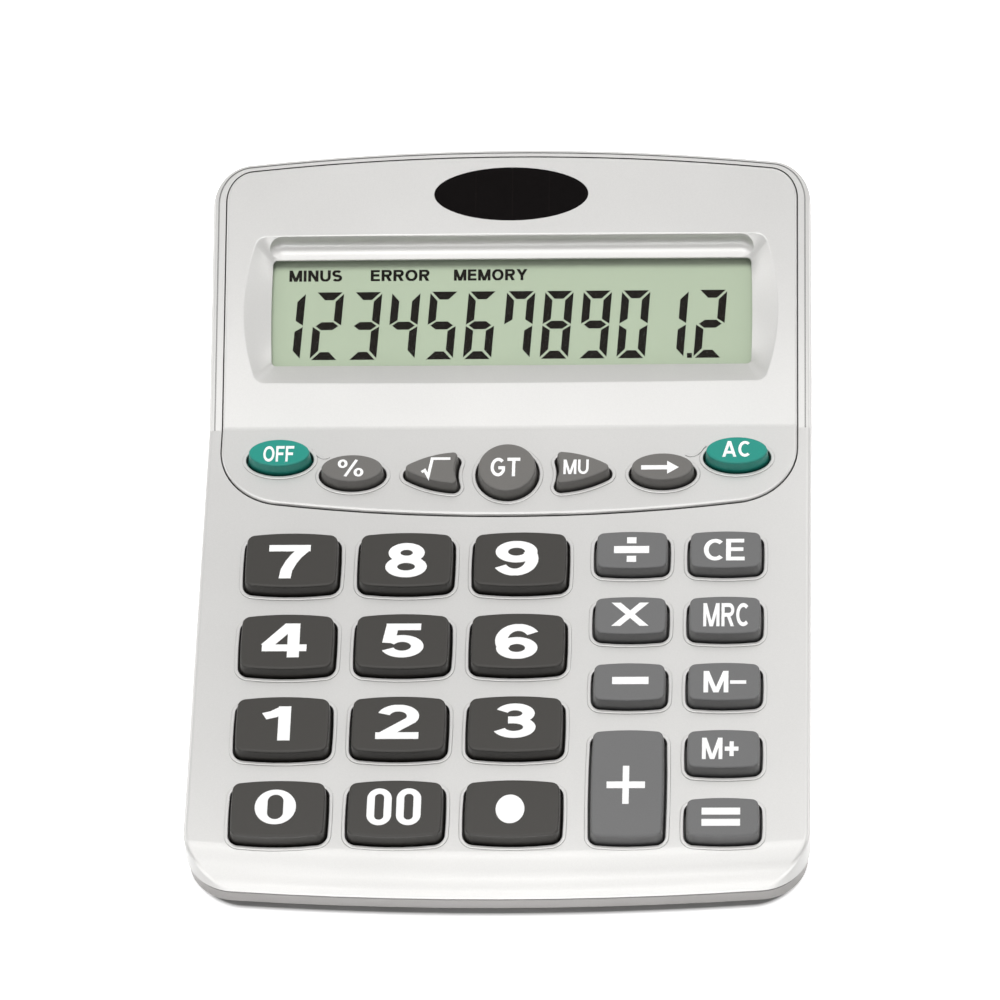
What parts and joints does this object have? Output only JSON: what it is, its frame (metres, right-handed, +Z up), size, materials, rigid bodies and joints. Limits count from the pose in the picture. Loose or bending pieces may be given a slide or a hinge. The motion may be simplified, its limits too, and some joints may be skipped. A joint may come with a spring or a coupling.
{
  "type": "desk calculator",
  "caption": "Wedge-shaped desk calculator with a tilted display head, sprung keys under a bent head panel, an oval solar cell and a sliding battery door underneath.",
  "frame": {"origin": "on the table, under the middle of the case", "axes": "+X to the right of a user in front of it, +Y towards the back, +Z up"},
  "size_m": [0.15, 0.1976, 0.0573],
  "materials": {
    "case_silver": "pearl silver, satin gloss",
    "case_grey": "grey, fine grain",
    "clear_lens": "clear, polished",
    "lcd_glass": "grey-green liquid crystal cell",
    "reflector_film": "matt silver film",
    "black_plastic": "black",
    "screw_steel": "zinc-plated",
    "ribbon_film": "amber film with printed tracks",
    "smoked_lens": "dark, polished",
    "solar_dark": "dark brown cells",
    "digit_keys": "dark grey, satin",
    "operator_keys": "mid grey, satin",
    "function_keys": "mid grey, satin",
    "teal_keys": "teal, satin",
    "silicone": "translucent grey silicone",
    "circuit_board": "paper laminate with printed tracks",
    "capacitor_sleeve": "dark blue sleeve",
    "cell_sleeve": "plain printed sleeve",
    "contact_steel": "nickel-plated spring steel",
    "wire_sleeve": "soft insulation",
    "foot_rubber": "soft, matt"
  },
  "bodies": {
    "case": {"upper_case": "case_silver", "head_panel": "case_silver", "lower_case": "case_grey", "display_window": "clear_lens", "lcd_glass": "lcd_glass", "lcd_reflector": "reflector_film", "lcd_holder": "black_plastic", "holder_screws": "screw_steel", "board_screws": "screw_steel", "case_screws": "screw_steel", "lcd_ribbon": "ribbon_film", "solar_lens": "smoked_lens", "solar_cell": "solar_dark", "key_mat": "silicone", "main_board": "circuit_board", "controller_blob": "black_plastic", "capacitor": "capacitor_sleeve", "battery_cell": "cell_sleeve", "contact_positive": "contact_steel", "contact_negative": "contact_steel", "battery_wires": "wire_sleeve", "solar_wires": "wire_sleeve", "rubber_feet": "foot_rubber"},
    "battery_door": {"battery_door": "case_grey"},
    "key_0": {"key_0": "digit_keys"},
    "key_00": {"key_00": "digit_keys"},
    "key_1": {"key_1": "digit_keys"},
    "key_2": {"key_2": "digit_keys"},
    "key_3": {"key_3": "digit_keys"},
    "key_4": {"key_4": "digit_keys"},
    "key_5": {"key_5": "digit_keys"},
    "key_6": {"key_6": "digit_keys"},
    "key_7": {"key_7": "digit_keys"},
    "key_8": {"key_8": "digit_keys"},
    "key_9": {"key_9": "digit_keys"},
    "key_all_clear": {"key_all_clear": "teal_keys"},
    "key_backspace": {"key_backspace": "function_keys"},
    "key_clear_entry": {"key_clear_entry": "operator_keys"},
    "key_divide": {"key_divide": "operator_keys"},
    "key_equals": {"key_equals": "operator_keys"},
    "key_grand_total": {"key_grand_total": "function_keys"},
    "key_mark_up": {"key_mark_up": "function_keys"},
    "key_memory_minus": {"key_memory_minus": "operator_keys"},
    "key_memory_plus": {"key_memory_plus": "operator_keys"},
    "key_memory_recall": {"key_memory_recall": "operator_keys"},
    "key_minus": {"key_minus": "operator_keys"},
    "key_multiply": {"key_multiply": "operator_keys"},
    "key_off": {"key_off": "teal_keys"},
    "key_percent": {"key_percent": "function_keys"},
    "key_plus": {"key_plus": "operator_keys"},
    "key_point": {"key_point": "digit_keys"},
    "key_root": {"key_root": "function_keys"}
  },
  "joints": [
    {"name": "battery_door_slide", "type": "slide", "parent": "case", "child": "battery_door", "axis": [0, 1, 0], "range_m": [0, 0.033]},
    {"name": "key_0_press", "type": "slide", "parent": "case", "child": "key_0", "axis": [0, 0.0872, -0.9962], "range_m": [0, 0.0012], "stiffness_N_per_m": 350, "springref_m": -0.0005, "deforming": ["key_mat"]},
    {"name": "key_00_press", "type": "slide", "parent": "case", "child": "key_00", "axis": [0, 0.0872, -0.9962], "range_m": [0, 0.0012], "stiffness_N_per_m": 350, "springref_m": -0.0005, "deforming": ["key_mat"]},
    {"name": "key_1_press", "type": "slide", "parent": "case", "child": "key_1", "axis": [0, 0.0872, -0.9962], "range_m": [0, 0.0012], "stiffness_N_per_m": 350, "springref_m": -0.0005, "deforming": ["key_mat"]},
    {"name": "key_2_press", "type": "slide", "parent": "case", "child": "key_2", "axis": [0, 0.0872, -0.9962], "range_m": [0, 0.0012], "stiffness_N_per_m": 350, "springref_m": -0.0005, "deforming": ["key_mat"]},
    {"name": "key_3_press", "type": "slide", "parent": "case", "child": "key_3", "axis": [0, 0.0872, -0.9962], "range_m": [0, 0.0012], "stiffness_N_per_m": 350, "springref_m": -0.0005, "deforming": ["key_mat"]},
    {"name": "key_4_press", "type": "slide", "parent": "case", "child": "key_4", "axis": [0, 0.0872, -0.9962], "range_m": [0, 0.0012], "stiffness_N_per_m": 350, "springref_m": -0.0005, "deforming": ["key_mat"]},
    {"name": "key_5_press", "type": "slide", "parent": "case", "child": "key_5", "axis": [0, 0.0872, -0.9962], "range_m": [0, 0.0012], "stiffness_N_per_m": 350, "springref_m": -0.0005, "deforming": ["key_mat"]},
    {"name": "key_6_press", "type": "slide", "parent": "case", "child": "key_6", "axis": [0, 0.0872, -0.9962], "range_m": [0, 0.0012], "stiffness_N_per_m": 350, "springref_m": -0.0005, "deforming": ["key_mat"]},
    {"name": "key_7_press", "type": "slide", "parent": "case", "child": "key_7", "axis": [0, 0.0872, -0.9962], "range_m": [0, 0.0012], "stiffness_N_per_m": 350, "springref_m": -0.0005, "deforming": ["key_mat"]},
    {"name": "key_8_press", "type": "slide", "parent": "case", "child": "key_8", "axis": [0, 0.0872, -0.9962], "range_m": [0, 0.0012], "stiffness_N_per_m": 350, "springref_m": -0.0005, "deforming": ["key_mat"]},
    {"name": "key_9_press", "type": "slide", "parent": "case", "child": "key_9", "axis": [0, 0.0872, -0.9962], "range_m": [0, 0.0012], "stiffness_N_per_m": 350, "springref_m": -0.0005, "deforming": ["key_mat"]},
    {"name": "key_all_clear_press", "type": "slide", "parent": "case", "child": "key_all_clear", "axis": [0, 0.0872, -0.9962], "range_m": [0, 0.0012], "stiffness_N_per_m": 350, "springref_m": -0.0005, "deforming": ["key_mat"]},
    {"name": "key_backspace_press", "type": "slide", "parent": "case", "child": "key_backspace", "axis": [0, 0.0872, -0.9962], "range_m": [0, 0.0012], "stiffness_N_per_m": 350, "springref_m": -0.0005, "deforming": ["key_mat"]},
    {"name": "key_clear_entry_press", "type": "slide", "parent": "case", "child": "key_clear_entry", "axis": [0, 0.0872, -0.9962], "range_m": [0, 0.0012], "stiffness_N_per_m": 350, "springref_m": -0.0005, "deforming": ["key_mat"]},
    {"name": "key_divide_press", "type": "slide", "parent": "case", "child": "key_divide", "axis": [0, 0.0872, -0.9962], "range_m": [0, 0.0012], "stiffness_N_per_m": 350, "springref_m": -0.0005, "deforming": ["key_mat"]},
    {"name": "key_equals_press", "type": "slide", "parent": "case", "child": "key_equals", "axis": [0, 0.0872, -0.9962], "range_m": [0, 0.0012], "stiffness_N_per_m": 350, "springref_m": -0.0005, "deforming": ["key_mat"]},
    {"name": "key_grand_total_press", "type": "slide", "parent": "case", "child": "key_grand_total", "axis": [0, 0.0872, -0.9962], "range_m": [0, 0.0012], "stiffness_N_per_m": 350, "springref_m": -0.0005, "deforming": ["key_mat"]},
    {"name": "key_mark_up_press", "type": "slide", "parent": "case", "child": "key_mark_up", "axis": [0, 0.0872, -0.9962], "range_m": [0, 0.0012], "stiffness_N_per_m": 350, "springref_m": -0.0005, "deforming": ["key_mat"]},
    {"name": "key_memory_minus_press", "type": "slide", "parent": "case", "child": "key_memory_minus", "axis": [0, 0.0872, -0.9962], "range_m": [0, 0.0012], "stiffness_N_per_m": 350, "springref_m": -0.0005, "deforming": ["key_mat"]},
    {"name": "key_memory_plus_press", "type": "slide", "parent": "case", "child": "key_memory_plus", "axis": [0, 0.0872, -0.9962], "range_m": [0, 0.0012], "stiffness_N_per_m": 350, "springref_m": -0.0005, "deforming": ["key_mat"]},
    {"name": "key_memory_recall_press", "type": "slide", "parent": "case", "child": "key_memory_recall", "axis": [0, 0.0872, -0.9962], "range_m": [0, 0.0012], "stiffness_N_per_m": 350, "springref_m": -0.0005, "deforming": ["key_mat"]},
    {"name": "key_minus_press", "type": "slide", "parent": "case", "child": "key_minus", "axis": [0, 0.0872, -0.9962], "range_m": [0, 0.0012], "stiffness_N_per_m": 350, "springref_m": -0.0005, "deforming": ["key_mat"]},
    {"name": "key_multiply_press", "type": "slide", "parent": "case", "child": "key_multiply", "axis": [0, 0.0872, -0.9962], "range_m": [0, 0.0012], "stiffness_N_per_m": 350, "springref_m": -0.0005, "deforming": ["key_mat"]},
    {"name": "key_off_press", "type": "slide", "parent": "case", "child": "key_off", "axis": [0, 0.0872, -0.9962], "range_m": [0, 0.0012], "stiffness_N_per_m": 350, "springref_m": -0.0005, "deforming": ["key_mat"]},
    {"name": "key_percent_press", "type": "slide", "parent": "case", "child": "key_percent", "axis": [0, 0.0872, -0.9962], "range_m": [0, 0.0012], "stiffness_N_per_m": 350, "springref_m": -0.0005, "deforming": ["key_mat"]},
    {"name": "key_plus_press", "type": "slide", "parent": "case", "child": "key_plus", "axis": [0, 0.0872, -0.9962], "range_m": [0, 0.0012], "stiffness_N_per_m": 350, "springref_m": -0.0005, "deforming": ["key_mat"]},
    {"name": "key_point_press", "type": "slide", "parent": "case", "child": "key_point", "axis": [0, 0.0872, -0.9962], "range_m": [0, 0.0012], "stiffness_N_per_m": 350, "springref_m": -0.0005, "deforming": ["key_mat"]},
    {"name": "key_root_press", "type": "slide", "parent": "case", "child": "key_root", "axis": [0, 0.0872, -0.9962], "range_m": [0, 0.0012], "stiffness_N_per_m": 350, "springref_m": -0.0005, "deforming": ["key_mat"]}
  ]
}
